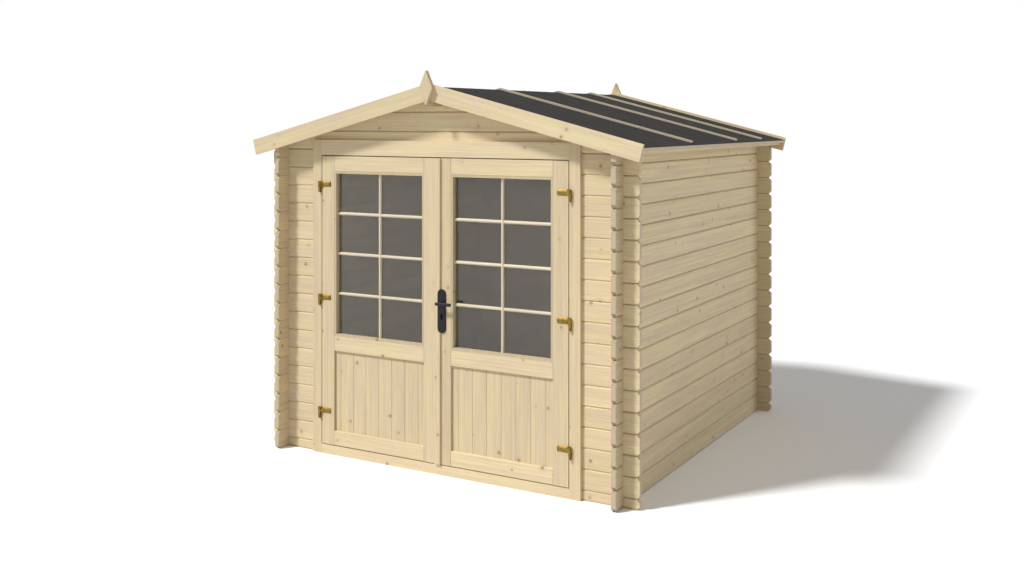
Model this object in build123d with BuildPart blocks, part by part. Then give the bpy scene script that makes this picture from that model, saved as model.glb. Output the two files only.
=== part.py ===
from build123d import *
import os
from math import cos, radians, sin, tan

# Garden shed of machined logs with a felted gable roof and a pair of half-glazed doors.
# Millimetres, +Z up from the ground, the doors face -Y, the origin is at the middle of the plan.

# Walls: outer faces, log section, and how the logs cross at the corners
wall_width = 2340
wall_depth = 2350
log_thickness = 28
course_height = 114
side_courses = 17
log_overhang = 95
log_seam = 0.4
log_groove = 6.5
log_tip_bevel = 19
notch_fit = 0.3
overrun = 50

# Roof: pitch, layers from the inside out, and overhangs
roof_pitch = 14.17
roof_seat = 0.3
deck_thickness = 18
felt_thickness = 3
eave_margin = 58
purlin_width = 45
purlin_depth = 92
lath_width = 30
lath_height = 21
lath_setback = 22
batten_width = 27
batten_thickness = 11
batten_setback = 40
batten_places = (-465, 335, 855)
bargeboard_thickness = 18
bargeboard_width = 95
bargeboard_rise = 17
bargeboard_extra = 3
bargeboard_gap = 2
finial_height = 200
finial_width = 90
finial_thickness = 28
finial_peak = 73

# Floor
floor_fit = 0.5
floor_thickness = 18
joist_height = 36
joist_width = 45
joist_count = 5

# Door frame
doorway_width = 1720
door_courses = 16
frame_face = 66
frame_proud = 20
frame_inner = 18
frame_web = 24
frame_stop = 14
stop_gap = 6
head_drop = 35
head_height = 94

# Door leaves
leaf_gap = 6
sill_gap = 5
leaf_thickness = 40
meeting_gap = 7
meeting_place = -12
stile_width = 93
meeting_stile_place = 93
top_rail_height = 92
middle_rail_height = 90
bottom_rail_height = 88
rail_bevel = 2
panel_height = 492
panel_thickness = 14
panel_recess = 14
glass_thickness = 4
glass_recess = 28
glass_fit = 0.5
bead_width = 16
bead_inset = 1
bead_bevel = 2
strip_width = 36
strip_thickness = 12

# Hinges
hinge_inset = 190
hinge_offset = 8
hinge_stand = 10
knuckle_radius = 9
pin_radius = 5
pin_clearance = 0.1
knuckle_height = 34
knuckle_gap = 0.5
strap_reach = 80
strap_edge = 2
strap_crown = 8
web_overlap = 4
web_lift = 2
pin_short = 3
pintle_taper = 3
pintle_bevel = 5

# Handle
handle_height = 1000
handle_place = 47
plate_width = 52
plate_height = 254
plate_thickness = 8
plate_bevel = 3
plate_top = 80
plate_fit = 0.5
key_drop = 73
key_radius = 7
key_slot_width = 9
key_slot_height = 20
neck_radius = 9
neck_clearance = 0.1
neck_gap = 0.5
neck_length = 52
grip_length = 107
grip_width = 18
grip_thickness = 12
grip_bevel = 4
grip_corner = 5
grip_tail = 21
spindle_width = 8
spindle_hole = 7

# Places worked out from the sizes above
half_width = wall_width / 2
half_depth = wall_depth / 2
half_log = log_thickness / 2
base_height = course_height / 2
quarter_course = course_height / 4
slope_sin = sin(radians(roof_pitch))
slope_cos = cos(radians(roof_pitch))
slope_tan = tan(radians(roof_pitch))
side_top = side_courses * course_height
roof_apex = side_top + half_width * slope_tan
gable_overhang = log_overhang + bargeboard_gap
deck_half_length = half_depth + gable_overhang
deck_reach = (half_width + log_overhang + eave_margin) / slope_cos
felt_top = deck_thickness + felt_thickness
board_low = felt_top + bargeboard_rise - bargeboard_width
board_high = felt_top + bargeboard_rise

front_face = -half_depth
door_face = front_face - frame_proud
opening_half = doorway_width / 2
opening_top = base_height + door_courses * course_height
head_bottom = opening_top - head_drop
head_top = head_bottom + head_height
frame_half = opening_half + frame_face
log_end = opening_half + frame_web + notch_fit
inner_face = front_face + log_thickness
frame_back = inner_face + frame_inner
stop_face = door_face + leaf_thickness + stop_gap

leaf_low = base_height + sill_gap
leaf_high = head_bottom - leaf_gap
leaf_edge = opening_half - leaf_gap
leaf_back = door_face + leaf_thickness
panel_low = leaf_low + bottom_rail_height
panel_high = panel_low + panel_height
window_low = panel_high + middle_rail_height
window_high = leaf_high - top_rail_height
hinge_x = opening_half + hinge_offset
hinge_y = door_face - hinge_stand
hinge_heights = (leaf_low + hinge_inset, (leaf_low + leaf_high) / 2, leaf_high - hinge_inset)
handle_x = meeting_place + handle_place


def place(x_low, x_high, y_low, y_high):
    """The middle of a rectangle between two corners."""
    return ((x_low + x_high) / 2, (y_low + y_high) / 2)


def make_board(x_low, x_high, y_low, y_high, z_low, z_high):
    """A straight board between two opposite corners."""
    with BuildPart() as board:
        with BuildSketch(Plane.XY.offset(z_low)):
            with Locations(place(x_low, x_high, y_low, y_high)):
                Rectangle(x_high - x_low, y_high - y_low)
        extrude(amount=z_high - z_low)
    return board.part


def save(part, name):
    """Labels a finished piece and writes it under its own name."""
    part.label = name
    export_step(part, f"parts/{name}.step")


os.makedirs("parts", exist_ok=True)

# Logs
quarter_turn = 90


def make_blank(start, end, height):
    """A log along X on Z 0 before its ends are worked, bevelled along the edges of its outer face at -Y."""
    with BuildPart() as blank:
        with BuildSketch(Plane.YZ.offset(start)):
            with Locations((0, height / 2)):
                Rectangle(log_thickness, height)
            chamfer(vertices().group_by(Axis.X)[0], log_groove)
        extrude(amount=end - start)
    return blank.part


def make_log(start, end, height, crossings, low_cut, high_cut, tips):
    """A log notched where the other walls cross it and bevelled at its tips."""
    with BuildPart() as log:
        add(make_blank(start, end, height))
        with BuildSketch(Plane.XZ):
            notch_width = log_thickness + 2 * notch_fit
            for crossing in crossings:
                if low_cut:
                    with Locations((crossing, low_cut / 2)):
                        Rectangle(notch_width, low_cut)
                if high_cut:
                    with Locations((crossing, height - high_cut / 2)):
                        Rectangle(notch_width, high_cut)
            for tip in tips:
                inward = log_tip_bevel if tip < 0 else -log_tip_bevel
                with BuildLine():
                    Polyline((tip, 0), (tip + inward, 0), (tip, log_tip_bevel), close=True)
                make_face()
                with BuildLine():
                    upper = height - log_tip_bevel
                    Polyline((tip, height), (tip + inward, height), (tip, upper), close=True)
                make_face()
        extrude(amount=log_thickness, both=True, mode=Mode.SUBTRACT)
    return log.part


log_height = course_height - log_seam
low_notch = quarter_course + log_seam / 2
high_notch = quarter_course - log_seam / 2
across_tip = half_width + log_overhang
along_tip = half_depth + log_overhang
across_crossing = half_width - half_log
along_crossing = half_depth - half_log
across_crossings = (-across_crossing, across_crossing)
along_crossings = (-along_crossing, along_crossing)
upper_courses = [base_height + course * course_height for course in range(door_courses)]

side_log = make_log(
    -along_tip, along_tip, log_height, along_crossings, low_notch, high_notch, (-along_tip, along_tip)
)
eave_log_height = course_height + log_thickness * slope_tan
eave_log = make_log(
    -along_tip,
    along_tip,
    eave_log_height,
    along_crossings,
    low_notch,
    eave_log_height - log_height + high_notch,
    (-along_tip, along_tip),
)
across_tips = (-across_tip, across_tip)
base_log = make_log(
    -across_tip, across_tip, base_height - log_seam, across_crossings, 0, high_notch, across_tips
)
back_log = make_log(
    -across_tip, across_tip, log_height, across_crossings, low_notch, high_notch, across_tips
)
short_log = make_log(
    -across_tip, -log_end, log_height, across_crossings[:1], low_notch, high_notch, (-across_tip,)
)


def make_side_wall(side):
    """The stack of logs of one side wall, the top one bevelled to the roof's slope."""
    x_middle = side * across_crossing
    with BuildPart() as wall:
        lows = [course * course_height for course in range(side_courses)]
        outward = (0, 0, side * quarter_turn)
        with Locations(*[Location((x_middle, 0, low), outward) for low in lows[:-1]]):
            add(side_log)
        with Locations(Location((x_middle, 0, lows[-1]), outward)):
            add(eave_log)
        with BuildSketch(Plane.XZ):
            with BuildLine():
                outer_x = side * (half_width + overrun)
                inner_x = side * (half_width - log_thickness - overrun)
                seat = side_top - roof_seat / slope_cos
                Polyline(
                    (outer_x, seat - overrun * slope_tan),
                    (inner_x, seat + (log_thickness + overrun) * slope_tan),
                    (inner_x, side_top + course_height),
                    (outer_x, side_top + course_height),
                    close=True,
                )
            make_face()
        extrude(amount=along_tip + overrun, both=True, mode=Mode.SUBTRACT)
    return wall.part


save(make_side_wall(-1), "left_wall")
save(make_side_wall(1), "right_wall")

with BuildPart() as back_wall:
    outward = (0, 0, 2 * quarter_turn)
    with Locations(Location((0, along_crossing, 0), outward)):
        add(base_log)
    with Locations(*[Location((0, along_crossing, low), outward) for low in upper_courses]):
        add(back_log)
save(back_wall.part, "back_wall")

with BuildPart() as front_base_log:
    with Locations((0, -along_crossing, 0)):
        add(base_log)
save(front_base_log.part, "front_base_log")

with BuildPart() as front_wall_left:
    with Locations(*[(0, -along_crossing, low) for low in upper_courses]):
        add(short_log)
save(front_wall_left.part, "front_wall_left")

with BuildPart() as front_wall_right:
    add(front_wall_left.part.mirror(Plane.YZ))
save(front_wall_right.part, "front_wall_right")


def make_gable():
    """The logs from the doorway's top to the ridge, cut to the roof and pocketed for the ridge purlin."""
    y_middle = -along_crossing
    seat_apex = roof_apex - roof_seat / slope_cos
    lows = []
    low = opening_top
    while (seat_apex - low) / slope_tan > purlin_width:
        lows.append(low)
        low += course_height
    with BuildPart() as gable:
        with Locations((0, y_middle, lows[0])):
            add(make_log(-across_tip, across_tip, log_height, across_crossings, low_notch, 0, ()))
        for low in lows[1:]:
            reach = (seat_apex - low) / slope_tan
            with Locations((0, y_middle, low)):
                add(make_blank(-reach, reach, log_height))
        with BuildSketch(Plane.XZ.offset(-y_middle)):
            with BuildLine():
                far = across_tip + overrun
                Polyline(
                    (-far, seat_apex - far * slope_tan),
                    (0, seat_apex),
                    (far, seat_apex - far * slope_tan),
                    (far, roof_apex + course_height),
                    (-far, roof_apex + course_height),
                    close=True,
                )
            make_face()
            with Locations((0, roof_apex)):
                Rectangle(purlin_width + 2 * notch_fit, 2 * (purlin_depth + notch_fit))
        extrude(amount=log_thickness, both=True, mode=Mode.SUBTRACT)
    return gable.part


front_gable = make_gable()
save(front_gable.mirror(Plane.XZ), "back_gable")
save(front_gable, "front_gable")

# Roof


def slope_plane(side, y_start):
    """A plane across one slope: X down it from the ridge, Y out of the roof, normal along the ridge."""
    return Plane(
        origin=(0, y_start, roof_apex), x_dir=(side * slope_cos, 0, -slope_sin), z_dir=(0, -side, 0)
    )


def slope_layer(side, low, high, reach, y_low, y_high, start=None):
    """A layer on one slope between two heights over the deck's underside, mitred at the ridge."""
    toward = -side * (y_high - y_low)
    with BuildPart() as layer:
        with BuildSketch(slope_plane(side, y_low)):
            with BuildLine():
                Polyline(
                    (-low * slope_tan if start is None else start, low),
                    (-high * slope_tan if start is None else start, high),
                    (reach, high),
                    (reach, low),
                    close=True,
                )
            make_face()
        extrude(amount=toward)
    return layer.part


with BuildPart() as ridge_purlin:
    with BuildSketch(Plane.XZ):
        with BuildLine():
            half_purlin = purlin_width / 2
            shoulder = roof_apex - half_purlin * slope_tan
            Polyline(
                (-half_purlin, roof_apex - purlin_depth),
                (half_purlin, roof_apex - purlin_depth),
                (half_purlin, shoulder),
                (0, roof_apex),
                (-half_purlin, shoulder),
                close=True,
            )
        make_face()
    extrude(amount=deck_half_length, both=True)
save(ridge_purlin.part, "ridge_purlin")

deck_ends = (-deck_half_length, deck_half_length)
save(slope_layer(-1, 0, deck_thickness, deck_reach, *deck_ends), "roof_deck_left")
save(slope_layer(1, 0, deck_thickness, deck_reach, *deck_ends), "roof_deck_right")

with BuildPart() as roof_felt:
    add(slope_layer(-1, deck_thickness, felt_top, deck_reach, *deck_ends))
    add(slope_layer(1, deck_thickness, felt_top, deck_reach, *deck_ends))
save(roof_felt.part, "roof_felt")


def make_battens(side):
    """The laths that hold the felt down on one slope."""
    with BuildPart() as battens:
        for middle in batten_places:
            add(
                slope_layer(
                    side,
                    felt_top,
                    felt_top + batten_thickness,
                    deck_reach - batten_setback,
                    middle - batten_width / 2,
                    middle + batten_width / 2,
                )
            )
    return battens.part


save(make_battens(-1), "roof_battens_left")
save(make_battens(1), "roof_battens_right")

with BuildPart() as eave_laths:
    lath_end = deck_reach - lath_setback
    add(slope_layer(-1, -lath_height, 0, lath_end, *deck_ends, start=lath_end - lath_width))
    add(slope_layer(1, -lath_height, 0, lath_end, *deck_ends, start=lath_end - lath_width))
save(eave_laths.part, "eave_laths")

board_reach = deck_reach + bargeboard_extra
board_face = deck_half_length + bargeboard_thickness
for end_name, y_low in (("front", -board_face), ("back", deck_half_length)):
    for side_name, side in (("left", -1), ("right", 1)):
        bargeboard = slope_layer(
            side, board_low, board_high, board_reach, y_low, y_low + bargeboard_thickness
        )
        save(bargeboard, f"{end_name}_bargeboard_{side_name}")


def make_finial(y_start):
    """The upright diamond that covers the joint of two bargeboards."""
    peak = roof_apex + board_high / slope_cos + finial_peak
    with BuildPart() as finial:
        with BuildSketch(Plane.XZ.offset(-y_start)):
            with BuildLine():
                Polyline(
                    (0, peak),
                    (finial_width / 2, peak - finial_height / 2),
                    (0, peak - finial_height),
                    (-finial_width / 2, peak - finial_height / 2),
                    close=True,
                )
            make_face()
        extrude(amount=finial_thickness)
    return finial.part


save(make_finial(-board_face), "front_finial")
save(make_finial(board_face + finial_thickness), "back_finial")

# Floor
floor_half_width = half_width - log_thickness - floor_fit
floor_half_depth = half_depth - log_thickness - floor_fit
floor_deck = make_board(
    -floor_half_width,
    floor_half_width,
    -floor_half_depth,
    floor_half_depth,
    joist_height,
    joist_height + floor_thickness,
)
save(floor_deck, "floor_deck")

with BuildPart() as floor_joists:
    joist_spacing = (2 * floor_half_depth - joist_width) / (joist_count - 1)
    with BuildSketch():
        with GridLocations(0, joist_spacing, 1, joist_count):
            Rectangle(2 * floor_half_width, joist_width)
    extrude(amount=joist_height)
save(floor_joists.part, "floor_joists")

# Door frame


def make_jamb(side):
    """A jamb grooved over the ends of the logs, with a stop behind the leaf."""
    with BuildPart() as jamb:
        with BuildSketch():
            with Locations(place(opening_half, frame_half, door_face, front_face)):
                Rectangle(frame_face, frame_proud)
        extrude(amount=head_top)
        with BuildSketch(Plane.XY.offset(base_height)):
            with Locations(place(opening_half, opening_half + frame_web, front_face, inner_face)):
                Rectangle(frame_web, log_thickness)
            with Locations(place(opening_half, frame_half, inner_face, frame_back)):
                Rectangle(frame_face, frame_inner)
        extrude(amount=opening_top - log_seam - base_height)
        with BuildSketch(Plane.XY.offset(base_height)):
            with Locations(place(opening_half - frame_stop, opening_half, stop_face, frame_back)):
                Rectangle(frame_stop, frame_back - stop_face)
        extrude(amount=head_bottom - frame_stop - log_seam - base_height)
    if side < 0:
        return jamb.part.mirror(Plane.YZ)
    return jamb.part


save(make_jamb(-1), "door_jamb_left")
save(make_jamb(1), "door_jamb_right")

head_half = opening_half - notch_fit
with BuildPart() as door_head:
    with BuildSketch(Plane.YZ.offset(-head_half)):
        with Locations(place(door_face, front_face, head_bottom, head_top)):
            Rectangle(frame_proud, head_height)
        with Locations(place(front_face, inner_face, head_bottom, opening_top - log_seam)):
            Rectangle(log_thickness, opening_top - log_seam - head_bottom)
        with Locations(place(inner_face, frame_back, head_bottom, opening_top - log_seam)):
            Rectangle(frame_inner, opening_top - log_seam - head_bottom)
        with Locations(place(stop_face, frame_back, head_bottom - frame_stop, head_bottom)):
            Rectangle(frame_back - stop_face, frame_stop)
    extrude(amount=2 * head_half)
save(door_head.part, "door_head")

door_sill = make_board(-head_half, head_half, door_face, front_face, 0, base_height - log_seam)
save(door_sill, "door_sill")

# Door leaves


def make_stiles(hinge_side, hinge_joint, meeting_joint, meeting_side):
    """The two uprights of a leaf."""
    with BuildPart() as stiles:
        with BuildSketch(Plane.XY.offset(leaf_low)):
            for first, second in ((hinge_side, hinge_joint), (meeting_joint, meeting_side)):
                with Locations(place(first, second, door_face, leaf_back)):
                    Rectangle(abs(second - first), leaf_thickness)
        extrude(amount=leaf_high - leaf_low)
    return stiles.part


def make_rails(first, second):
    """The three cross pieces of a leaf, with bevels where their faces meet the other pieces."""
    rails_low_high = ((leaf_low, panel_low), (panel_high, window_low), (window_high, leaf_high))
    with BuildPart() as rails:
        with BuildSketch(Plane.XZ.offset(-leaf_back)):
            for low, high in rails_low_high:
                with Locations(place(first, second, low, high)):
                    Rectangle(second - first, high - low)
        extrude(amount=leaf_thickness)
        outer_faces = rails.faces().filter_by(Axis.Y).group_by(Axis.Y)[0]
        chamfer(outer_faces.edges(), rail_bevel)
    return rails.part


def make_beads(first, second):
    """The frames that hold the glass, one outside it and one inside."""
    middle = place(first, second, window_low, window_high)
    width = second - first
    height = window_high - window_low
    glass_front = door_face + glass_recess
    glass_back = glass_front + glass_thickness
    back_depth = leaf_back - glass_back
    with BuildPart() as beads:
        for y_start, depth in ((glass_front, glass_recess - bead_inset), (leaf_back, back_depth)):
            with BuildSketch(Plane.XZ.offset(-y_start)):
                with Locations(middle):
                    Rectangle(width, height)
                    Rectangle(width - 2 * bead_width, height - 2 * bead_width, mode=Mode.SUBTRACT)
            extrude(amount=depth)
        outer_face = beads.faces().sort_by(Axis.Y)[0]
        chamfer(outer_face.inner_wires()[0].edges(), bead_bevel)
    return beads.part


def fill_leaf(name, first, second):
    """What lies between the stiles of a leaf: rails, lower panel, glass and the glass's beads."""
    save(make_rails(first, second), f"{name}_rails")
    panel_front = door_face + panel_recess
    panel = make_board(first, second, panel_front, panel_front + panel_thickness, panel_low, panel_high)
    save(panel, f"{name}_panel")
    glass_front = door_face + glass_recess
    glass = make_board(
        first + glass_fit,
        second - glass_fit,
        glass_front,
        glass_front + glass_thickness,
        window_low + glass_fit,
        window_high - glass_fit,
    )
    save(glass, f"{name}_glass")
    save(make_beads(first, second), f"{name}_beads")


hinge_joint = leaf_edge - stile_width
fill_leaf("left_door", -hinge_joint, -meeting_stile_place)
fill_leaf("right_door", meeting_stile_place, hinge_joint)


def sketch_keyhole():
    """The keyhole's outline, in the sketch that is open."""
    with Locations((handle_x, handle_height - key_drop)):
        Circle(key_radius)
    with Locations((handle_x, handle_height - key_drop - key_slot_height / 2)):
        Rectangle(key_slot_width, key_slot_height)


left_stiles = make_stiles(-leaf_edge, -hinge_joint, -meeting_stile_place, meeting_place - meeting_gap)
save(left_stiles, "left_door_stiles")

with BuildPart() as right_door_stiles:
    add(make_stiles(leaf_edge, hinge_joint, meeting_stile_place, meeting_place))
    with BuildSketch(Plane.XZ.offset(-leaf_back - overrun)):
        with Locations((handle_x, handle_height)):
            Rectangle(2 * spindle_hole, 2 * spindle_hole)
        with Locations((handle_x, handle_height - key_drop + (key_radius - key_slot_height) / 2)):
            Rectangle(2 * key_radius, key_radius + key_slot_height)
    extrude(amount=leaf_thickness + 2 * overrun, mode=Mode.SUBTRACT)
save(right_door_stiles.part, "right_door_stiles")

plate_middle = handle_height + plate_top - plate_height / 2
with BuildPart() as meeting_strip:
    with BuildSketch(Plane.XY.offset(leaf_low)):
        strip_end = meeting_place + strip_width
        with Locations(place(meeting_place, strip_end, door_face - strip_thickness, door_face)):
            Rectangle(strip_width, strip_thickness)
    extrude(amount=leaf_high - leaf_low)
    with BuildSketch(Plane.XZ.offset(-door_face)):
        with Locations((handle_x, plate_middle)):
            SlotOverall(plate_height + 2 * plate_fit, plate_width + 2 * plate_fit, rotation=quarter_turn)
    extrude(amount=strip_thickness, mode=Mode.SUBTRACT)
save(meeting_strip.part, "meeting_strip")

# Hinges


def make_straps(side):
    """The domed straps on one leaf, each with the eye that turns on its pin."""
    strap_end = hinge_x - strap_reach
    edge = door_face - strap_edge
    crown = door_face - strap_crown
    web_start = leaf_edge - web_overlap
    with BuildPart() as straps:
        for middle in hinge_heights:
            low = middle + knuckle_gap
            high = low + knuckle_height
            with BuildSketch(Plane.YZ.offset(strap_end)):
                with BuildLine():
                    Polyline((edge, high), (door_face, high), (door_face, low), (edge, low))
                    ThreePointArc((edge, low), (crown, (low + high) / 2), (edge, high))
                make_face()
            extrude(amount=leaf_edge - strap_end)
            with BuildSketch(Plane.XY.offset(low)):
                with Locations((hinge_x, hinge_y)):
                    Circle(knuckle_radius)
                with Locations(place(web_start, hinge_x, hinge_y, door_face - web_lift)):
                    Rectangle(hinge_x - web_start, hinge_stand - web_lift)
                with Locations((hinge_x, hinge_y)):
                    Circle(pin_radius + pin_clearance, mode=Mode.SUBTRACT)
            extrude(amount=knuckle_height)
    if side < 0:
        return straps.part.mirror(Plane.YZ)
    return straps.part


def make_pintles(side):
    """The pins on one jamb, each on a block that narrows downwards and is bevelled at its front."""
    foot_low = max(hinge_x - knuckle_radius, opening_half)
    foot_high = hinge_x + knuckle_radius
    with BuildPart() as pintles:
        with BuildSketch(Plane.XZ.offset(-door_face)):
            for middle in hinge_heights:
                tail_end = middle - knuckle_height
                with BuildLine():
                    Polyline(
                        (foot_low, middle),
                        (foot_high, middle),
                        (foot_high - pintle_taper, tail_end),
                        (foot_low + pintle_taper, tail_end),
                        close=True,
                    )
                make_face()
        extrude(amount=hinge_stand + knuckle_radius)
        outer_faces = pintles.faces().filter_by(Axis.Y).group_by(Axis.Y)[0]
        chamfer(outer_faces.edges().filter_by(Axis.X, reverse=True), pintle_bevel)
        for middle in hinge_heights:
            with BuildSketch(Plane.XY.offset(middle)):
                with Locations((hinge_x, hinge_y)):
                    Circle(pin_radius)
            extrude(amount=knuckle_height - pin_short)
    if side < 0:
        return pintles.part.mirror(Plane.YZ)
    return pintles.part


for side_name, side in (("left", -1), ("right", 1)):
    save(make_straps(side), f"{side_name}_hinge_straps")
    save(make_pintles(side), f"{side_name}_hinge_pintles")

# Handle


def make_plate(back, outward):
    """A handle plate with round ends, bevelled round its outer face and pierced for neck and key."""
    with BuildPart() as plate:
        with BuildSketch(Plane.XZ.offset(-back)):
            with Locations((handle_x, plate_middle)):
                SlotOverall(plate_height, plate_width, rotation=quarter_turn)
        extrude(amount=-outward * plate_thickness)
        outer_face = plate.faces().sort_by(Axis.Y, reverse=outward > 0)[0]
        chamfer(outer_face.edges(), plate_bevel)
        with BuildSketch(Plane.XZ.offset(-back)):
            with Locations((handle_x, handle_height)):
                Circle(neck_radius + neck_clearance)
            sketch_keyhole()
        extrude(amount=-outward * plate_thickness, mode=Mode.SUBTRACT)
    return plate.part


with BuildPart() as handle_plates:
    add(make_plate(door_face, -1))
    add(make_plate(leaf_back, 1))
save(handle_plates.part, "handle_plates")


def make_lever(neck_start, outward):
    """A lever: a round neck out of its plate and a grip that points at the hinges."""
    with BuildPart() as lever:
        with BuildSketch(Plane.XZ.offset(-neck_start)):
            with Locations((handle_x, handle_height)):
                Circle(neck_radius)
        extrude(amount=-outward * neck_length)
        with BuildSketch(Plane.XZ.offset(-(neck_start + outward * (neck_length - grip_thickness)))):
            with Locations((handle_x + grip_length / 2 - grip_tail, handle_height)):
                Rectangle(grip_length, grip_width)
            chamfer(vertices(), grip_corner)
        extrude(amount=-outward * grip_thickness)
        outer_face = lever.faces().sort_by(Axis.Y, reverse=outward > 0)[0]
        chamfer(outer_face.edges(), grip_bevel)
    return lever.part


with BuildPart() as handle_levers:
    add(make_lever(door_face - neck_gap, -1))
    add(make_lever(leaf_back + neck_gap, 1))
save(handle_levers.part, "handle_levers")

handle_spindle = make_board(
    handle_x - spindle_width / 2,
    handle_x + spindle_width / 2,
    door_face - neck_gap,
    leaf_back + neck_gap,
    handle_height - spindle_width / 2,
    handle_height + spindle_width / 2,
)
save(handle_spindle, "handle_spindle")
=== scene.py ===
"""Looks of a log-built garden shed: finishes, boards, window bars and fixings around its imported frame."""

import math

import bmesh
import bpy
from mathutils import Matrix, Vector


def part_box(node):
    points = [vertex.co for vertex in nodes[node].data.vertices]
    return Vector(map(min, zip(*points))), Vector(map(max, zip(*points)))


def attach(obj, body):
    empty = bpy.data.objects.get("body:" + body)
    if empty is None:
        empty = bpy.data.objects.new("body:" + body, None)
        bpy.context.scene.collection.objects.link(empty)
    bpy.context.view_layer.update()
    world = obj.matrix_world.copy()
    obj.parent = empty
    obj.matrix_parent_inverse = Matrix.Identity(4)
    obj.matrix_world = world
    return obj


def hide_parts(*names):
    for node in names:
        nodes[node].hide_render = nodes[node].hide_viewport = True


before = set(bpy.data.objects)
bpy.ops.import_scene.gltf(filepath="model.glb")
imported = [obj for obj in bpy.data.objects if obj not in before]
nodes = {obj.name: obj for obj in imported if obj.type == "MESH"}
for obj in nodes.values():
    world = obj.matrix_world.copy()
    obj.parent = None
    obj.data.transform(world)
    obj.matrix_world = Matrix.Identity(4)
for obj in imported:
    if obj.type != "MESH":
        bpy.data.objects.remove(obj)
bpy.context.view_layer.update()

# Directions in the part's frame.
X = Vector((1, 0, 0))
Y = Vector((0, 1, 0))
Z = Vector((0, 0, 1))

# Roof.
ROOF_PITCH = math.radians(14.17)
DECK_THICKNESS = 0.018
DOWN_LEFT = Vector((-math.cos(ROOF_PITCH), 0, -math.sin(ROOF_PITCH)))
DOWN_RIGHT = Vector((math.cos(ROOF_PITCH), 0, -math.sin(ROOF_PITCH)))
ROOF_BOARDS = 27

# Walls, floor and door leaves.
COURSE_HEIGHT = 0.114
FLOOR_BOARDS = 24
PANEL_BOARDS = 7
PANEL_START_SHARE = 0.45
PANEL_BEVEL = 0.0016
BOARD_SEAM = 0.0006
BOARD_BEVEL = 0.003
BEAD_WIDTH = 0.016

# Window bars.
BAR_WIDTH = 0.019
UPRIGHT_DEPTH = 0.013
CROSS_DEPTH = 0.010
BAR_TUCK = 0.001
BAR_LAP = 0.006
BAR_SEAT = 0.0002
BAR_STEPS = 8
PANE_ROWS = 4

# Fixings.
SCREW_SIDES = 14
SCREW_RISE_SHARE = 0.35
SCREW_RIM_SHARE = 0.72
SCREW_SHOULDER_SHARE = 0.4
SCREW_ARM_SHARE = 0.72
SCREW_SLOT_SHARE = 0.11
SCREW_PIT_SHARE = 0.25
HINGE_SCREW = 0.0035
HINGE_SCREW_INSETS = (0.014, 0.045)
STRAP_HEIGHT = 0.034
STRAP_CROWN = 0.0078
PLATE_SCREW = 0.0035
PLATE_SCREW_INSET = 0.016
LOCK_RISE = 0.101
LOCK_RADIUS = 0.0069
LOCK_SLOT = 0.0088
LOCK_DROP = 0.0198
LOCK_SINK = 0.0035
LOCK_SIDES = 20
LOCK_RIM = 0.0022
LOCK_FACE = 0.0012
TRIM_NAIL = 0.003
FLOOR_NAIL = 0.0025
FLOOR_NAIL_SHARES = (0.25, 0.75)
BATTEN_PLACES = (-0.465, 0.335, 0.855)
BATTEN_TOP = 0.032
ROOF_NAIL_START = 0.08
ROOF_NAIL_STEP = 0.238
ROOF_NAILS = 6
FLOOR_JOISTS = 5
JOIST_WIDTH = 0.045

# Camera and light.
CAMERA_PLACE = (3.621, -6.636, 2.063)
CAMERA_TURN = math.radians(29.83)
CAMERA_LENS = 39.41
SENSOR_WIDTH = 36.0
CAMERA_SHIFT = -0.1642
SUN_DIRECTION = Vector((0.4068, 0.5095, -0.7582))
SUN_STRENGTH = 2.83
SUN_ANGLE = math.radians(8.3)
FILL_DIRECTION = Vector((-0.72, -0.68, 0.0))
FILL_STRENGTH = 0.87
FILL_ANGLE = math.radians(45)
AMBIENT = 0.336
BACKGROUND = 1.0
FLOOR_SIZE = 80.0
FLOOR_LIT = (0.74, 0.74, 0.74, 1)
FLOOR_SEEN = (1.07, 1.07, 1.08, 1)

# The usual range of a noise.
NOISE_RANGE = (0.3, 0.7)


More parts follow.
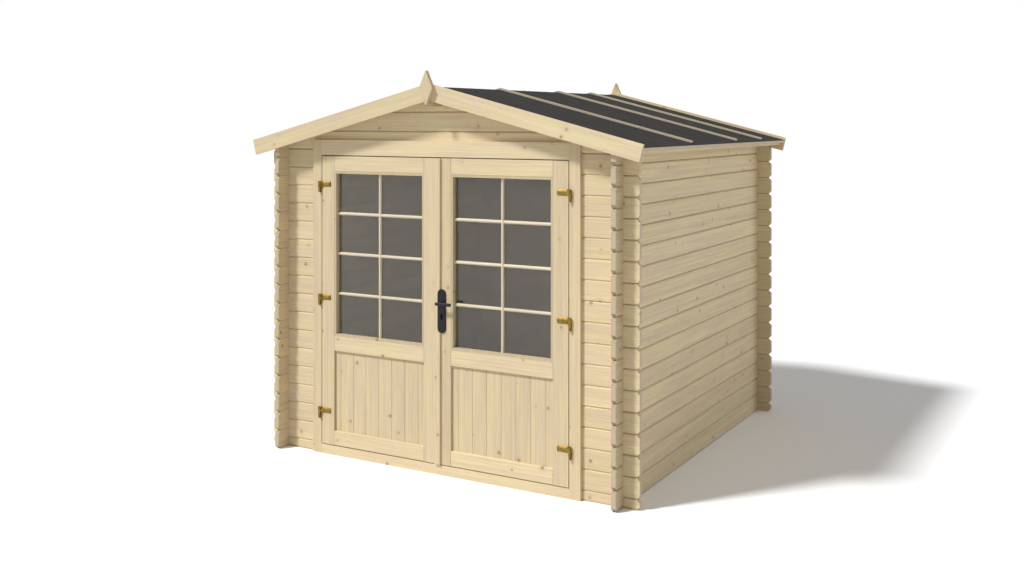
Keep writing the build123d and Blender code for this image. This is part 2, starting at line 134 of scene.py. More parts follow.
class Graph:
    """One material's node tree, with short ways to add and link nodes."""

    def __init__(self, name):
        self.material = bpy.data.materials.new(name)
        self.material.use_nodes = True
        self.tree = self.material.node_tree
        self.shader = self.tree.nodes["Principled BSDF"]

    def feed(self, socket, value):
        """Links a socket, or sets a value."""
        if isinstance(value, bpy.types.NodeSocket):
            self.tree.links.new(value, socket)
        elif value is not None:
            socket.default_value = value

    def node(self, kind, *values, **settings):
        """Adds a node with these settings and feeds its inputs in order."""
        node = self.tree.nodes.new("ShaderNode" + kind)
        for key, value in settings.items():
            setattr(node, key, value)
        for socket, value in zip(node.inputs, values):
            self.feed(socket, value)
        return node

    def math(self, operation, first, second=None, third=None):
        return self.node("Math", first, second, third, operation=operation).outputs[0]

    def dot(self, vector, axis):
        return self.node("VectorMath", vector, axis, operation="DOT_PRODUCT").outputs["Value"]

    def vector(self, x, y, z):
        return self.node("CombineXYZ", x, y, z).outputs[0]

    def parts(self, vector):
        return self.node("SeparateXYZ", vector).outputs

    def noise(self, vector, scale, detail=3.0, roughness=0.55):
        node = self.node("TexNoise")
        self.feed(node.inputs["Vector"], vector)
        self.feed(node.inputs["Scale"], scale)
        self.feed(node.inputs["Detail"], detail)
        self.feed(node.inputs["Roughness"], roughness)
        return node.outputs[0]

    def spread(self, value, low, high, to_low=0.0, to_high=1.0):
        """Carries a range of values smoothly to another range."""
        node = self.node("MapRange", value, low, high, to_low, to_high, interpolation_type="SMOOTHSTEP")
        return node.outputs[0]

    def over(self, noise, to_low=0.0, to_high=1.0):
        """Carries the usual range of a noise to another range."""
        return self.spread(noise, *NOISE_RANGE, to_low, to_high)

    def mix(self, share, first, second, blend="MIX"):
        node = self.node("Mix", data_type="RGBA", blend_type=blend)
        self.feed(node.inputs[0], share)
        self.feed(node.inputs[6], first)
        self.feed(node.inputs[7], second)
        return node.outputs[2]

    def grey(self, value):
        """The same value in all three colour channels."""
        return self.node("CombineColor", value, value, value).outputs[0]

    def bump(self, height, strength, distance):
        node = self.node("Bump")
        self.feed(node.inputs["Height"], height)
        node.inputs["Strength"].default_value = strength
        node.inputs["Distance"].default_value = distance
        self.feed(self.shader.inputs["Normal"], node.outputs[0])

    def set(self, **values):
        """Sets inputs of the shader by name, with spaces written as underscores."""
        for key, value in values.items():
            self.feed(self.shader.inputs[key.replace("_", " ")], value)


# Pine: pale planed boards with growth rings, soft streaks and small knots.
PINE_YELLOW = (0.745, 0.625, 0.385, 1)
PINE_PINK = (0.715, 0.58, 0.395, 1)
PINE_LATE = (0.60, 0.46, 0.27, 1)
PINE_CUT = (0.40, 0.325, 0.225, 1)
PINE_END = (0.56, 0.465, 0.345, 1)
TIP_CUT = (0.58, 0.47, 0.32, 1)
# Brown of the painted shade in the log grooves and on the bevelled ends of level pieces.
JOINT_SHADE_BROWN = (0.20, 0.135, 0.07, 1)
KNOT_BROWN = (0.37, 0.215, 0.12, 1)
GREY_YELLOW = (0.56, 0.49, 0.36, 1)
GREY_PINK = (0.52, 0.45, 0.34, 1)
CREAM_YELLOW = (0.80, 0.715, 0.53, 1)
CREAM_PINK = (0.79, 0.69, 0.53, 1)
PINE_SPECULAR = 0.16
PINE_ROUGHNESS = (0.58, 0.72)
PINE_BUMP = 0.35
PINE_RELIEF = 0.0006

# Boards that pine is drawn in: how wide each is, and where one of them begins.
FRONT_COURSES = (COURSE_HEIGHT, COURSE_HEIGHT / 2)
SIDE_COURSES = (COURSE_HEIGHT, 0.0)
UPRIGHTS = (0.3, 0.15)
LEVELS = (0.4, 0.0)
LENGTHS = (0.4, 0.2)
SLOPES = (0.5, 0.25)
BOARDS = (0.1, 0.0)
BARS = (0.4, 0.2)
PIECE_SPREAD = 97.0
BOARD_SPREAD = 40.0
# Reach of the painted groove shade above each log joint, and where the log tips beyond the corners start for
# their painted light and shade.
GROOVE_SHADE_REACH = 0.006
TIP_START = 1.16
TIP_BLEND = 0.004

# Knots, and how the grain bends around them.
KNOT_CELL = 0.165
KNOT_SMALLEST = -0.010
KNOT_LARGEST = 0.011
KNOT_EDGE = 0.0052
KNOT_LEAST = 0.002
KNOT_DEPTH = (0.4, 0.82)
KNOT_RELIEF = 0.5
HALO_REACH = 0.035
HALO_TINT = 0.12
GRAIN_BEND = -0.6

# Growth rings.
RING_SPACING = 0.0052
RING_RISE = (0.35, 0.9)
RING_FALL = (0.92, 1.0)
RING_WANDER = 0.03
RING_SHARE = (0.10, 0.30)
RING_RELIEF = -0.4
PITH_REACH = 0.16
PITH_WRAP = 0.2

# Patterns in pine, each by its rates along, across and through a board, and its shade from low to high.
WANDER = (1.3, 9.0, 1.0)
BROAD = (2.2, 14.0, 1.0)
BROAD_RANGE = (0.32, 0.68)
STREAK = (0.8, 48.0, 48.0)
STREAK_RANGE = (0.25, 0.75)
STREAK_SHADE = (1.035, 0.955)
LINE = (2.6, 150.0, 150.0)
LINE_SHADE = (1.05, 0.93)
FIBRE = (14.0, 650.0, 650.0)
FIBRE_SHADE = (1.03, 0.96)
FIBRE_RELIEF = 0.6

# How squarely a face stands across the grain where its bevels and its ends start and are complete.
BEVEL_FACING = (0.5, 0.66)
END_FACING = (0.78, 0.95)
CUT_SHARE = 0.75


def pine(
    name, along, across, boards, joints=None, tone=1.0, tip_painted_light=1.0, vary=0.04, clear=False,
    yellow=PINE_YELLOW, pink=PINE_PINK, cut=PINE_CUT,
):
    """Planed pine with its grain along one direction, in boards that lie side by side across it.

    Joints is how dark each board is painted next to the joint below it, on the wall and beyond its corners,
    as painted shade in the groove.
    Tone scales the whole colour, tip_painted_light scales it beyond the corners as painted shade where below
    1 and painted light where above 1, vary is how much it differs between boards, clear wood has no knots,
    and cut is the colour of bevels at a board's ends.
    """
    g = Graph(name)
    pitch, offset = boards
    place = g.node("TexCoord")
    point = place.outputs["Object"]
    a = g.dot(point, along)
    outwards = g.math("ABSOLUTE", a)
    b = g.dot(point, across)
    c = g.dot(point, along.cross(across))

    # Each board of each piece gets its own stretch of wood.
    course = g.math("DIVIDE", g.math("SUBTRACT", b, offset), pitch)
    index = g.math("FLOOR", course)
    piece = g.math("MULTIPLY", g.node("ObjectInfo").outputs["Random"], PIECE_SPREAD)
    chance = g.node("TexWhiteNoise", g.vector(index, piece, 0.0), noise_dimensions="3D").outputs["Color"]
    chance_a, chance_b, chance_c = g.parts(chance)
    a = g.math("MULTIPLY_ADD", chance_a, BOARD_SPREAD, a)
    b_own = g.math("MULTIPLY_ADD", chance_b, BOARD_SPREAD, b)

    # Knots.
    cell = g.vector(g.math("DIVIDE", a, KNOT_CELL), g.math("DIVIDE", b_own, KNOT_CELL), 0.0)
    knots = g.node("TexVoronoi", cell, voronoi_dimensions="2D")
    knots.inputs["Scale"].default_value = 1.0
    knot_chances = g.parts(knots.outputs["Color"])
    away = g.math("MULTIPLY", knots.outputs["Distance"], KNOT_CELL)
    size = g.spread(knot_chances[0], 0.0, 1.0, KNOT_SMALLEST, KNOT_LARGEST)
    inside = g.math("SUBTRACT", size, away)
    present = g.math("GREATER_THAN", size, KNOT_LARGEST if clear else KNOT_LEAST)
    knot = g.math("MULTIPLY", g.spread(inside, -KNOT_EDGE, KNOT_EDGE), present)
    halo = g.math("MULTIPLY", g.spread(inside, -HALO_REACH, 0.0), present)
    side = g.math("SUBTRACT", g.parts(cell)[1], g.parts(knots.outputs["Position"])[1])
    bend = g.math("MULTIPLY", g.math("MULTIPLY", side, KNOT_CELL), halo)
    b_flow = g.math("MULTIPLY_ADD", bend, GRAIN_BEND, b_own)

    def grain(rates, b_place, detail, roughness=0.55):
        """Noise drawn out along the board."""
        spots = [g.math("MULTIPLY", spot, rate) for spot, rate in zip((a, b_place, c), rates)]
        return g.noise(g.vector(*spots), 1.0, detail, roughness)

    # Growth rings around a pith that lies in or near the board.
    wander = grain(WANDER, b_flow, detail=2.0)
    pith_b = g.math("MULTIPLY_ADD", chance_c, PITH_REACH, -PITH_REACH / 2)
    middle = g.math("MULTIPLY_ADD", g.math("ADD", index, 0.5), pitch, offset)
    ring_b = g.math("ADD", g.math("SUBTRACT", b, middle), pith_b)
    ring_b = g.math("ADD", ring_b, g.math("MULTIPLY", bend, GRAIN_BEND))
    ring_b = g.math("MULTIPLY_ADD", wander, RING_WANDER, ring_b)
    ring_c = g.math("SUBTRACT", g.math("WRAP", c, PITH_WRAP, 0.0), g.math("MULTIPLY", chance_b, PITH_WRAP))
    reach = g.math("SQRT", g.math("ADD", g.math("POWER", ring_b, 2.0), g.math("POWER", ring_c, 2.0)))
    phase = g.math("FRACT", g.math("DIVIDE", reach, RING_SPACING))
    ring = g.math("MULTIPLY", g.spread(phase, *RING_RISE), g.spread(phase, *RING_FALL, 1.0, 0.0))

    streak = grain(STREAK, b_flow, detail=4.0, roughness=0.6)
    line = grain(LINE, b_flow, detail=3.0, roughness=0.6)
    fibre = grain(FIBRE, b_flow, detail=2.0)
    broad = grain(BROAD, b_own, detail=2.0)

    # Colour.
    colour = g.mix(g.spread(broad, *BROAD_RANGE), yellow, pink)
    late = g.math("MULTIPLY", ring, g.over(streak, *RING_SHARE))
    colour = g.mix(late, colour, PINE_LATE)
    shade = g.spread(streak, *STREAK_RANGE, *STREAK_SHADE)
    shade = g.math("MULTIPLY", shade, g.over(fibre, *FIBRE_SHADE))
    shade = g.math("MULTIPLY", shade, g.over(line, *LINE_SHADE))
    shade = g.math("MULTIPLY", shade, g.spread(chance_c, 0.0, 1.0, tone * (1 - vary), tone * (1 + vary)))
    # Painted light and shade on the log tips beyond the corners: a factor below 1 darkens them as painted
    # shade, and one above 1 lightens them as painted light.
    shade = g.math("MULTIPLY", shade, g.spread(outwards, TIP_START, TIP_START + TIP_BLEND, 1.0, tip_painted_light))
    colour = g.mix(1.0, colour, g.grey(shade), "MULTIPLY")
    ends = g.math("ABSOLUTE", g.dot(place.outputs["Normal"], along))
    end_cut = g.mix(g.spread(ends, *END_FACING), cut, PINE_END)
    colour = g.mix(g.spread(ends, *BEVEL_FACING, 0.0, CUT_SHARE), colour, end_cut)
    colour = g.mix(g.math("MULTIPLY", halo, HALO_TINT), colour, PINE_LATE)
    knot_depth = g.spread(knot_chances[1], 0.0, 1.0, *KNOT_DEPTH)
    colour = g.mix(g.math("MULTIPLY", knot, knot_depth), colour, KNOT_BROWN)
    # Painted shade in the grooves: each board is darkened towards brown just above the joint below it, by
    # one depth on the wall and another beyond the corners.
    if joints:
        near = g.math("MULTIPLY", g.math("FRACT", course), pitch)
        groove_shade_depth = g.spread(outwards, TIP_START, TIP_START + TIP_BLEND, *joints)
        dark = g.math("MULTIPLY", g.spread(near, 0.0, GROOVE_SHADE_REACH, 1.0, 0.0), groove_shade_depth)
        colour = g.mix(dark, colour, JOINT_SHADE_BROWN)

    rough = g.over(streak, *PINE_ROUGHNESS)
    g.set(Base_Color=colour, Roughness=rough, Specular_IOR_Level=PINE_SPECULAR)
    height = g.math("MULTIPLY_ADD", ring, RING_RELIEF, g.math("MULTIPLY", fibre, FIBRE_RELIEF))
    g.bump(g.math("MULTIPLY_ADD", knot, KNOT_RELIEF, height), PINE_BUMP, PINE_RELIEF)
    return g.material


# Felt.
FELT_GREY = (0.0372, 0.0354, 0.0328, 1)
FELT_SPECULAR = 0.05
FELT_ROUGHNESS = (0.8, 1.0)
FELT_BUMP = 0.5
GRIT_SCALE = 420.0
GRIT_SHADE = (0.62, 1.45)
GRIT_RELIEF = 0.0008
FELT_CLOUD_SCALE = 3.0
FELT_CLOUD_SHADE = (0.9, 1.1)
FELT_PATCH_SCALE = 26.0
FELT_PATCH_SHADE = (0.93, 1.07)


def felt():
    """Bitumen felt with a dark mineral grit."""
    g = Graph("roof_felt_finish")
    point = g.node("TexCoord").outputs["Object"]
    grit = g.node("TexVoronoi", point, voronoi_dimensions="3D")
    grit.inputs["Scale"].default_value = GRIT_SCALE
    grain = g.parts(grit.outputs["Color"])[0]
    cloud = g.noise(point, FELT_CLOUD_SCALE, detail=3.0)
    patch = g.noise(point, FELT_PATCH_SCALE, detail=4.0)
    shade = g.math("MULTIPLY", g.spread(grain, 0.0, 1.0, *GRIT_SHADE), g.over(cloud, *FELT_CLOUD_SHADE))
    shade = g.math("MULTIPLY", shade, g.over(patch, *FELT_PATCH_SHADE))
    colour = g.mix(1.0, FELT_GREY, g.grey(shade), "MULTIPLY")
    rough = g.spread(grain, 0.0, 1.0, *FELT_ROUGHNESS)
    g.set(Base_Color=colour, Roughness=rough, Specular_IOR_Level=FELT_SPECULAR)
    g.bump(g.math("MULTIPLY", grit.outputs["Distance"], -1.0), FELT_BUMP, GRIT_RELIEF)
    return g.material


# Metals.
BRASS_DARK = (0.195, 0.122, 0.021, 1)
BRASS_LIGHT = (0.38, 0.25, 0.064, 1)
COAT_DARK = (0.0175, 0.0168, 0.0178, 1)
COAT_LIGHT = (0.026, 0.0252, 0.0265, 1)
# Near black of the lock, painted shade in the keyhole.
KEYHOLE_SHADE_DARK = (0.002, 0.002, 0.002, 1)
KEYHOLE_SHADE_LIGHT = (0.004, 0.0038, 0.0036, 1)
STEEL_DARK = (0.42, 0.42, 0.42, 1)
STEEL_LIGHT = (0.62, 0.62, 0.61, 1)
METAL_CLOUD_SCALE = 55.0
METAL_BUMP = 0.12
METAL_RELIEF = 0.0002
CLOUD_WEAR = 0.16
GRAIN_WEAR = 0.08
MEAN_WEAR = (CLOUD_WEAR + GRAIN_WEAR) / 2


def metal(name, dark, light, roughness, grain_scale, metallic=1.0, specular=0.5):
    """Metal or painted metal with faint clouding, fine grain and wear in its gloss."""
    g = Graph(name)
    point = g.node("TexCoord").outputs["Object"]
    cloud = g.noise(point, METAL_CLOUD_SCALE, detail=4.0, roughness=0.6)
    grain = g.noise(point, grain_scale, detail=2.0)
    colour = g.mix(g.over(cloud), dark, light)
    rough = g.math("MULTIPLY_ADD", grain, GRAIN_WEAR, roughness - MEAN_WEAR)
    rough = g.math("MULTIPLY_ADD", cloud, CLOUD_WEAR, rough)
    g.set(Base_Color=colour, Roughness=rough, Metallic=metallic, Specular_IOR_Level=specular)
    g.bump(grain, METAL_BUMP, METAL_RELIEF)
    return g.material


# Glass.
PANE_DARK = (0.915, 0.925, 0.905, 1)
PANE_LIGHT = (0.965, 0.975, 0.955, 1)
PANE_ROUGHNESS = (0.10, 0.14)
PANE_CLEARNESS = 0.98
GLASS_IOR = 1.45
FILM_SCALE = 5.0
RIPPLE_SCALE = 2.2
RIPPLE_BUMP = 0.04
RIPPLE_RELIEF = 0.002


def glass():
    """Lightly tinted pane with a faint film of dust."""
    g = Graph("pane_glass")
    point = g.node("TexCoord").outputs["Object"]
    film = g.noise(point, FILM_SCALE, detail=4.0, roughness=0.6)
    ripple = g.noise(point, RIPPLE_SCALE, detail=1.0)
    g.set(Base_Color=g.mix(g.over(film), PANE_DARK, PANE_LIGHT), Roughness=g.over(film, *PANE_ROUGHNESS))
    g.set(IOR=GLASS_IOR, Transmission_Weight=PANE_CLEARNESS)
    g.bump(ripple, RIPPLE_BUMP, RIPPLE_RELIEF)
    return g.material


def floor_finish():
    """Studio floor, white where it is seen, that keeps the shadow on it."""
    g = Graph("studio_floor")
    path = g.node("LightPath").outputs
    seen = g.math("MAXIMUM", path["Is Camera Ray"], path["Is Transmission Ray"])
    seen = g.math("MAXIMUM", seen, path["Is Glossy Ray"])
    g.set(Base_Color=g.mix(seen, FLOOR_LIT, FLOOR_SEEN), Roughness=1.0, Specular_IOR_Level=0.0)
    return g.material


PINES = {
    # The log finishes paint shade into their grooves, and paint light and shade on their tips beyond the
    # corners.
    "front_logs": pine(
        "pine_front_logs_painted_light_and_shade", X, Z, FRONT_COURSES, joints=(0.0, 0.9), tone=1.05, tip_painted_light=1.05, cut=TIP_CUT
    ),
    # The gable logs sit in shade under the roof, and their higher tone is painted light; their grooves have
    # painted shade.
    "gable_logs": pine("pine_gable_logs_painted_light_and_shade", X, Z, FRONT_COURSES, joints=(0.7, 0.7), tone=1.2),
    "back_logs": pine("pine_back_logs_painted_shade", X, Z, FRONT_COURSES, joints=(0.9, 0.9), tone=1.05, tip_painted_light=0.93),
    "side_logs": pine("pine_side_logs_painted_shade", Y, Z, SIDE_COURSES, joints=(0.9, 0.45), tone=1.085, tip_painted_light=0.89),
    "upright": pine("pine_upright", Z, X, UPRIGHTS, tone=0.995),
    "jambs": pine("pine_jambs", Z, X, UPRIGHTS, tone=1.06),
    # The beads' lower tone is painted shade for their sides that sit in shade.
    "beads": pine("pine_beads_painted_shade", Z, X, UPRIGHTS, tone=0.86),
    # The level pieces' end bevels take the painted shade brown, which paints shade lines at their ends.
    "level": pine("pine_level_painted_end_shade", X, Z, LEVELS, tone=1.1, cut=JOINT_SHADE_BROWN),
    "length": pine("pine_length", Y, X, LENGTHS, tone=0.95),
    "left_slope": pine("pine_left_slope", DOWN_LEFT, DOWN_LEFT.cross(Y), SLOPES, tone=1.06),
    "right_slope": pine("pine_right_slope", DOWN_RIGHT, DOWN_RIGHT.cross(Y), SLOPES, tone=1.06),
    "left_boards": pine("pine_left_boards", DOWN_LEFT, Y, BOARDS),
    "right_boards": pine("pine_right_boards", DOWN_RIGHT, Y, BOARDS),
    "left_battens": pine("pine_left_battens", DOWN_LEFT, Y, BOARDS, yellow=GREY_YELLOW, pink=GREY_PINK),
    "right_battens": pine("pine_right_battens", DOWN_RIGHT, Y, BOARDS, yellow=GREY_YELLOW, pink=GREY_PINK),
    "bar_upright": pine("pine_bar_upright", Z, X, BARS, clear=True, yellow=CREAM_YELLOW, pink=CREAM_PINK),
    "bar_level": pine("pine_bar_level", X, Z, LEVELS, clear=True, yellow=CREAM_YELLOW, pink=CREAM_PINK),
}
FELT = felt()
GLASS = glass()
BRASS = metal("brassed_steel", BRASS_DARK, BRASS_LIGHT, roughness=0.57, grain_scale=900.0)
DARK = metal(
    "charcoal_coating", COAT_DARK, COAT_LIGHT, roughness=0.46, grain_scale=1500.0, metallic=0.0, specular=0.2
)
# The lock's near-black finish is painted shade in the keyhole.
KEYHOLE_SHADE = metal(
    "keyhole_painted_shade", KEYHOLE_SHADE_DARK, KEYHOLE_SHADE_LIGHT, roughness=0.7, grain_scale=1500.0, metallic=0.0, specular=0.05
)
STEEL = metal("zinc_steel", STEEL_DARK, STEEL_LIGHT, roughness=0.38, grain_scale=1200.0)

FINISHES = {
    "front_logs": ["front_wall_left", "front_wall_right", "front_base_log"],
    "gable_logs": ["front_gable"],
    "back_logs": ["back_wall", "back_gable"],
    "side_logs": ["left_wall", "right_wall"],
    "upright": [
        "front_finial", "back_finial", "meeting_strip", "left_door_stiles", "right_door_stiles",
    ],
    "jambs": ["door_jamb_left", "door_jamb_right"],
    "beads": ["left_door_beads", "right_door_beads"],
    "level": ["door_head", "door_sill", "left_door_rails", "right_door_rails", "floor_joists"],
    "length": ["ridge_purlin", "eave_laths"],
    "left_slope": ["front_bargeboard_left", "back_bargeboard_left"],
    "right_slope": ["front_bargeboard_right", "back_bargeboard_right"],
    "left_battens": ["roof_battens_left"],
    "right_battens": ["roof_battens_right"],
}


def dress(node, material):
    """Gives a carried-over node its finish."""
    mesh = nodes[node].data
    mesh.materials.clear()
    mesh.materials.append(material)


for finish, members in FINISHES.items():
    for member in members:
        dress(member, PINES[finish])
dress("roof_felt", FELT)
for side in ("left", "right"):
    dress(f"{side}_door_glass", GLASS)
    dress(f"{side}_hinge_straps", BRASS)
    dress(f"{side}_hinge_pintles", BRASS)
dress("handle_plates", DARK)
dress("handle_levers", DARK)
dress("handle_spindle", STEEL)


def finish_piece(name, bm, material, body):
    """Makes an object of a mesh, gives it its finish and sets it on its body."""
    bmesh.ops.recalc_face_normals(bm, faces=bm.faces)
    mesh = bpy.data.meshes.new(name)
    bm.to_mesh(mesh)
    bm.free()
    mesh.materials.append(material)
    piece = bpy.data.objects.new(name, mesh)
    bpy.context.scene.collection.objects.link(piece)
    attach(piece, body)
    return piece


def axes(origin, along, across):
    """A frame with its first axis along a bar, its second across it and its third up from it."""
    up = along.cross(across)
    place = Matrix((along, across, up)).transposed().to_4x4()
    place.translation = origin
    return place


def rounded(width, depth):
    """A bar's section with a flat seat and a half-elliptic face."""
    turns = [math.pi * i / BAR_STEPS for i in range(BAR_STEPS + 1)]
    return [(width / 2 * math.cos(turn), depth * math.sin(turn)) for turn in turns]


def bevelled(width, depth, lower=0.0, upper=0.0):
    """A bar's section, from its seat upwards, with bevels along its lower and upper edges."""
    half = width / 2
    low = [(half - lower, 0.0), (half, lower)] if lower else [(half, 0.0)]
    high = [(half, depth - upper), (half - upper, depth)] if upper else [(half, depth)]
    right = low + high
    left = [(-across, up) for across, up in reversed(right)]
    return right + left


def add_bar(bm, place, section, start, end, lean=0.0):
    """A closed bar of one section. Lean slants its near end by that much for each unit upwards."""
    near = [bm.verts.new(place @ Vector((start + lean * up, across, up))) for across, up in section]
    far = [bm.verts.new(place @ Vector((end, across, up))) for across, up in section]
    bm.faces.new(near)
    bm.faces.new(far)
    for i in range(len(section)):
        j = (i + 1) % len(section)
        bm.faces.new((near[i], near[j], far[j], far[i]))


def add_screw(bm, point, outward, radius, slotted=True):
    """A domed head with a cross recess, or a plain flat nail head, seated on a face."""
    turn = outward.to_track_quat("Z", "Y").to_matrix().to_4x4()
    place = Matrix.Translation(point) @ turn
    rise = radius * SCREW_RISE_SHARE
    rim = radius * SCREW_RIM_SHARE

    def ring(size, height):
        turns = [2 * math.pi * i / SCREW_SIDES for i in range(SCREW_SIDES)]
        points = [Vector((size * math.cos(turn), size * math.sin(turn), height)) for turn in turns]
        return [bm.verts.new(place @ point) for point in points]

    rings = [ring(radius, 0.0), ring(radius, rise * SCREW_SHOULDER_SHARE), ring(rim, rise)]
    for lower, upper in zip(rings, rings[1:]):
        for i in range(SCREW_SIDES):
            j = (i + 1) % SCREW_SIDES
            bm.faces.new((lower[i], lower[j], upper[j], upper[i]))
    bm.faces.new(rings[0])
    if not slotted:
        bm.faces.new(rings[-1])
        return
    arm = rim * SCREW_ARM_SHARE
    half = radius * SCREW_SLOT_SHARE
    corners = [(arm, -half), (arm, half), (half, half), (half, arm), (-half, arm), (-half, half)]
    corners += [(-x, -y) for x, y in corners]
    top = [bm.verts.new(place @ Vector((x, y, rise))) for x, y in corners]
    pit = [bm.verts.new(place @ Vector((x, y, rise * SCREW_PIT_SHARE))) for x, y in corners]
    bm.faces.new(pit)
    edges = []
    for i in range(len(corners)):
        j = (i + 1) % len(corners)
        edges.append(bm.edges.new((top[i], top[j])))
        bm.faces.new((top[i], top[j], pit[j], pit[i]))
    crown = rings[-1]
    edges += [bm.edges.get((crown[i], crown[(i + 1) % SCREW_SIDES])) for i in range(SCREW_SIDES)]
    bmesh.ops.triangle_fill(bm, edges=edges, use_beauty=True)


def make_roof_boards(side, down):
    """The boards of one slope, laid from the ridge to the eave with bevelled joints below."""
    low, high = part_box(f"roof_deck_{side}")
    apex = Vector((0, 0, high.z - DECK_THICKNESS / math.cos(ROOF_PITCH)))
    reach = max(abs(low.x), abs(high.x))
    end = (reach - DECK_THICKNESS * math.sin(ROOF_PITCH)) / math.cos(ROOF_PITCH)
    pitch = (high.y - low.y) / ROOF_BOARDS
    across = Y if down.x > 0 else -Y
    section = bevelled(pitch - BOARD_SEAM, DECK_THICKNESS, lower=BOARD_BEVEL)
    bm = bmesh.new()
    for i in range(ROOF_BOARDS):
        place = axes(apex + Y * (low.y + pitch * (i + 0.5)), down, across)
        add_bar(bm, place, section, 0.0, end, lean=-math.tan(ROOF_PITCH))
    boards = finish_piece(f"roof_boards_{side}", bm, PINES[f"{side}_boards"], "shed")
    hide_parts(f"roof_deck_{side}")


make_roof_boards("left", DOWN_LEFT)
make_roof_boards("right", DOWN_RIGHT)


def make_floor_boards():
    """Floor boards laid from front to back over the joists."""
    low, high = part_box("floor_deck")
    pitch = (high.x - low.x) / FLOOR_BOARDS
    section = bevelled(pitch - BOARD_SEAM, high.z - low.z, upper=BOARD_BEVEL / 2)
    bm = bmesh.new()
    for i in range(FLOOR_BOARDS):
        origin = Vector((low.x + pitch * (i + 0.5), 0, low.z))
        add_bar(bm, axes(origin, Y, -X), section, low.y, high.y)
    finish = pine("pine_floor_boards", Y, X, (pitch, low.x))
    boards = finish_piece("floor_boards", bm, finish, "shed")
    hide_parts("floor_deck")


make_floor_boards()


def make_panel_boards(side):
    """The upright boards that fill the lower part of a leaf."""
    low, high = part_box(f"{side}_door_panel")
    pitch = (high.x - low.x) / PANEL_BOARDS
    first = low.x + pitch * PANEL_START_SHARE
    joints = [low.x, *[first + pitch * i for i in range(PANEL_BOARDS)], high.x]
    bm = bmesh.new()
    for left, right in zip(joints, joints[1:]):
        section = bevelled(right - left - BOARD_SEAM, high.y - low.y, lower=PANEL_BEVEL, upper=PANEL_BEVEL)
        origin = Vector(((left + right) / 2, high.y, 0))
        add_bar(bm, axes(origin, Z, -X), section, low.z, high.z)
    finish = pine(f"pine_{side}_panel", Z, X, (pitch, first), tone=0.99, vary=0.018)
    boards = finish_piece(f"{side}_panel_boards", bm, finish, f"{side}_door")
    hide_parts(f"{side}_door_panel")


def make_window_bars(side):
    """The bars in front of one pane: an upright in the middle, and shallower level bars on both sides."""
    low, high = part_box(f"{side}_door_beads")
    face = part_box(f"{side}_door_glass")[0].y - BAR_SEAT
    left = low.x + BEAD_WIDTH - BAR_TUCK
    right = high.x - BEAD_WIDTH + BAR_TUCK
    bottom = low.z + BEAD_WIDTH - BAR_TUCK
    top = high.z - BEAD_WIDTH + BAR_TUCK
    middle = (left + right) / 2
    bm = bmesh.new()
    upright = rounded(BAR_WIDTH, UPRIGHT_DEPTH)
    add_bar(bm, axes(Vector((middle, face, 0)), Z, -X), upright, bottom, top)
    finish_piece(f"{side}_window_upright", bm, PINES["bar_upright"], f"{side}_door")
    bm = bmesh.new()
    cross = rounded(BAR_WIDTH, CROSS_DEPTH)
    for row in range(1, PANE_ROWS):
        height = bottom + (top - bottom) * row / PANE_ROWS
        place = axes(Vector((0, face, height)), X, Z)
        add_bar(bm, place, cross, left, middle - BAR_LAP)
        add_bar(bm, place, cross, middle + BAR_LAP, right)
    finish_piece(f"{side}_window_bars", bm, PINES["bar_level"], f"{side}_door")


for side in ("left", "right"):
    make_panel_boards(side)
    make_window_bars(side)


def make_fixings(name, spots, radius, finish, body, slotted=False):
    """Screws or nails of one kind, each at a point and facing outwards from it."""
    bm = bmesh.new()
    for point, outward in spots:
        add_screw(bm, point, outward, radius, slotted)
    finish_piece(name, bm, finish, body)


def make_hinge_screws(side):
    """Screws through the straps of one leaf."""
    low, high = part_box(f"{side}_hinge_straps")
    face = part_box(f"{side}_door_stiles")[0].y - STRAP_CROWN
    start, toward = (low.x, 1) if side == "right" else (high.x, -1)
    heights = (low.z + STRAP_HEIGHT / 2, (low.z + high.z) / 2, high.z - STRAP_HEIGHT / 2)
    spots = [
        (Vector((start + toward * inset, face, height)), -Y)
        for height in heights
        for inset in HINGE_SCREW_INSETS
    ]
    make_fixings(
        f"{side}_hinge_screws", spots, HINGE_SCREW, BRASS, f"{side}_door", slotted=True
    )


def make_plate_screws():
    """Screws at the top and bottom of both handle plates."""
    low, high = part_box("handle_plates")
    middle = (low.x + high.x) / 2
    heights = (low.z + PLATE_SCREW_INSET, high.z - PLATE_SCREW_INSET)
    spots = [(Vector((middle, low.y, height)), -Y) for height in heights]
    spots += [(Vector((middle, high.y, height)), Y) for height in heights]
    make_fixings("plate_screws", spots, PLATE_SCREW, DARK, "right_door", slotted=True)


def keyhole(rim):
    """The outline of the lock, grown by a rim: a round part with a straight part below it."""
    radius = LOCK_RADIUS + rim
    half = LOCK_SLOT / 2 + rim
    start = math.asin(half / radius)
    sweep = 2 * (math.pi - start)
    turns = [start - math.pi / 2 + sweep * i / LOCK_SIDES for i in range(LOCK_SIDES + 1)]
    outline = [(radius * math.cos(turn), -radius * math.sin(turn)) for turn in turns]
    return outline + [(-half, LOCK_DROP + rim), (half, LOCK_DROP + rim)]


def make_lock():
    """The lock in the keyhole: a barrel with a straight part below it, and its faces on both plates, all
    near black as painted shade in the keyhole.
    """
    low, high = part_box("handle_plates")
    place = axes(Vector(((low.x + high.x) / 2, 0, low.z + LOCK_RISE)), Y, X)
    bm = bmesh.new()
    add_bar(bm, place, keyhole(0.0), low.y + LOCK_SINK, high.y - LOCK_SINK)
    face = keyhole(LOCK_RIM)
    add_bar(bm, place, face, low.y - LOCK_FACE, low.y)
    add_bar(bm, place, face, high.y, high.y + LOCK_FACE)
    finish_piece("lock_barrel", bm, KEYHOLE_SHADE, "right_door")


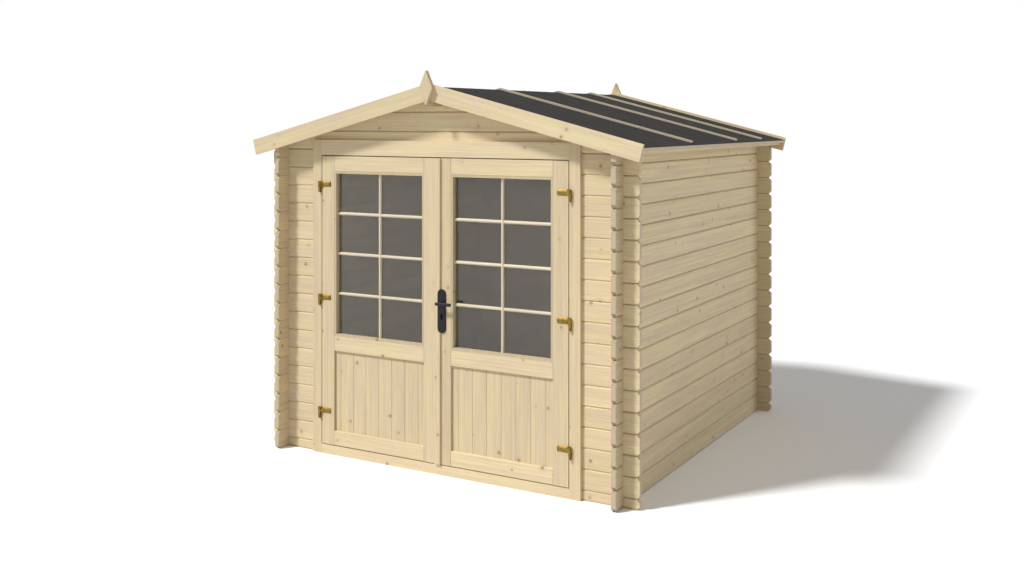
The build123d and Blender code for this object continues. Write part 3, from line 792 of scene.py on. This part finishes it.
def make_roof_nails():
    """Nails through the bargeboards into the roof boards, and down through the battens."""
    deck_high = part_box("roof_deck_right")[1]
    apex = Vector((0, 0, deck_high.z - DECK_THICKNESS / math.cos(ROOF_PITCH)))
    steps = [ROOF_NAIL_START + ROOF_NAIL_STEP * i for i in range(ROOF_NAILS)]
    trim = []
    top = []
    for down in (DOWN_LEFT, DOWN_RIGHT):
        up = Vector((-down.z * math.copysign(1, down.x), 0, abs(down.x)))
        for step in steps:
            line = apex + down * step
            edge = line + up * DECK_THICKNESS / 2
            trim.append((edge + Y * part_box("front_bargeboard_left")[0].y, -Y))
            trim.append((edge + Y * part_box("back_bargeboard_left")[1].y, Y))
            top += [(line + up * BATTEN_TOP + Y * spot, up) for spot in BATTEN_PLACES]
    make_fixings("bargeboard_nails", trim, TRIM_NAIL, STEEL, "shed")
    make_fixings("batten_nails", top, TRIM_NAIL, STEEL, "shed")


def make_floor_nails():
    """Two nails through each floor board into each joist."""
    low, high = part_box("floor_deck")
    pitch = (high.x - low.x) / FLOOR_BOARDS
    first = low.y + JOIST_WIDTH / 2
    gap = (high.y - low.y - JOIST_WIDTH) / (FLOOR_JOISTS - 1)
    spots = [
        (Vector((low.x + pitch * (board + share), first + gap * joist, high.z)), Z)
        for board in range(FLOOR_BOARDS)
        for joist in range(FLOOR_JOISTS)
        for share in FLOOR_NAIL_SHARES
    ]
    make_fixings("floor_nails", spots, FLOOR_NAIL, STEEL, "shed")


make_hinge_screws("left")
make_hinge_screws("right")
make_plate_screws()
make_lock()
make_roof_nails()
make_floor_nails()


def make_stage():
    """The studio floor."""
    bm = bmesh.new()
    bmesh.ops.create_grid(bm, x_segments=1, y_segments=1, size=FLOOR_SIZE / 2)
    mesh = bpy.data.meshes.new("studio_floor")
    bm.to_mesh(mesh)
    bm.free()
    mesh.materials.append(floor_finish())
    floor = bpy.data.objects.new("studio_floor", mesh)
    bpy.context.scene.collection.objects.link(floor)


def add_sun(name, direction, strength, angle):
    """A distant lamp, as soft as its angle is wide."""
    sun = bpy.data.lights.new(name, "SUN")
    sun.energy = strength
    sun.angle = angle
    lamp = bpy.data.objects.new(name, sun)
    lamp.rotation_euler = direction.to_track_quat("-Z", "Y").to_euler()
    bpy.context.scene.collection.objects.link(lamp)


def make_light():
    """A soft sun from the front left, a weak fill from behind on the right, and an even white sky."""
    add_sun("sun", SUN_DIRECTION, SUN_STRENGTH, SUN_ANGLE)
    add_sun("fill", FILL_DIRECTION, FILL_STRENGTH, FILL_ANGLE)
    world = bpy.data.worlds.new("studio")
    world.use_nodes = True
    bpy.context.scene.world = world
    tree = world.node_tree
    sky = tree.nodes["Background"]
    sky.inputs["Color"].default_value = (1, 1, 1, 1)
    path = tree.nodes.new("ShaderNodeLightPath")
    strength = None
    for kind in ("Is Glossy Ray", "Is Transmission Ray", "Is Camera Ray"):
        level = tree.nodes.new("ShaderNodeMapRange")
        level.inputs["To Min"].default_value = AMBIENT
        level.inputs["To Max"].default_value = BACKGROUND
        tree.links.new(path.outputs[kind], level.inputs["Value"])
        if strength:
            tree.links.new(strength, level.inputs["To Min"])
        strength = level.outputs["Result"]
    tree.links.new(strength, sky.inputs["Strength"])


def make_camera():
    """The photograph's view: level, from the front right, with the frame shifted down."""
    lens = bpy.data.cameras.new("camera")
    lens.sensor_width = SENSOR_WIDTH
    lens.lens = CAMERA_LENS
    lens.shift_y = CAMERA_SHIFT
    camera = bpy.data.objects.new("camera", lens)
    camera.location = CAMERA_PLACE
    camera.rotation_euler = (math.pi / 2, 0, CAMERA_TURN)
    bpy.context.scene.collection.objects.link(camera)
    bpy.context.scene.camera = camera


make_stage()
make_light()
make_camera()
bpy.context.scene.view_settings.view_transform = "Standard"
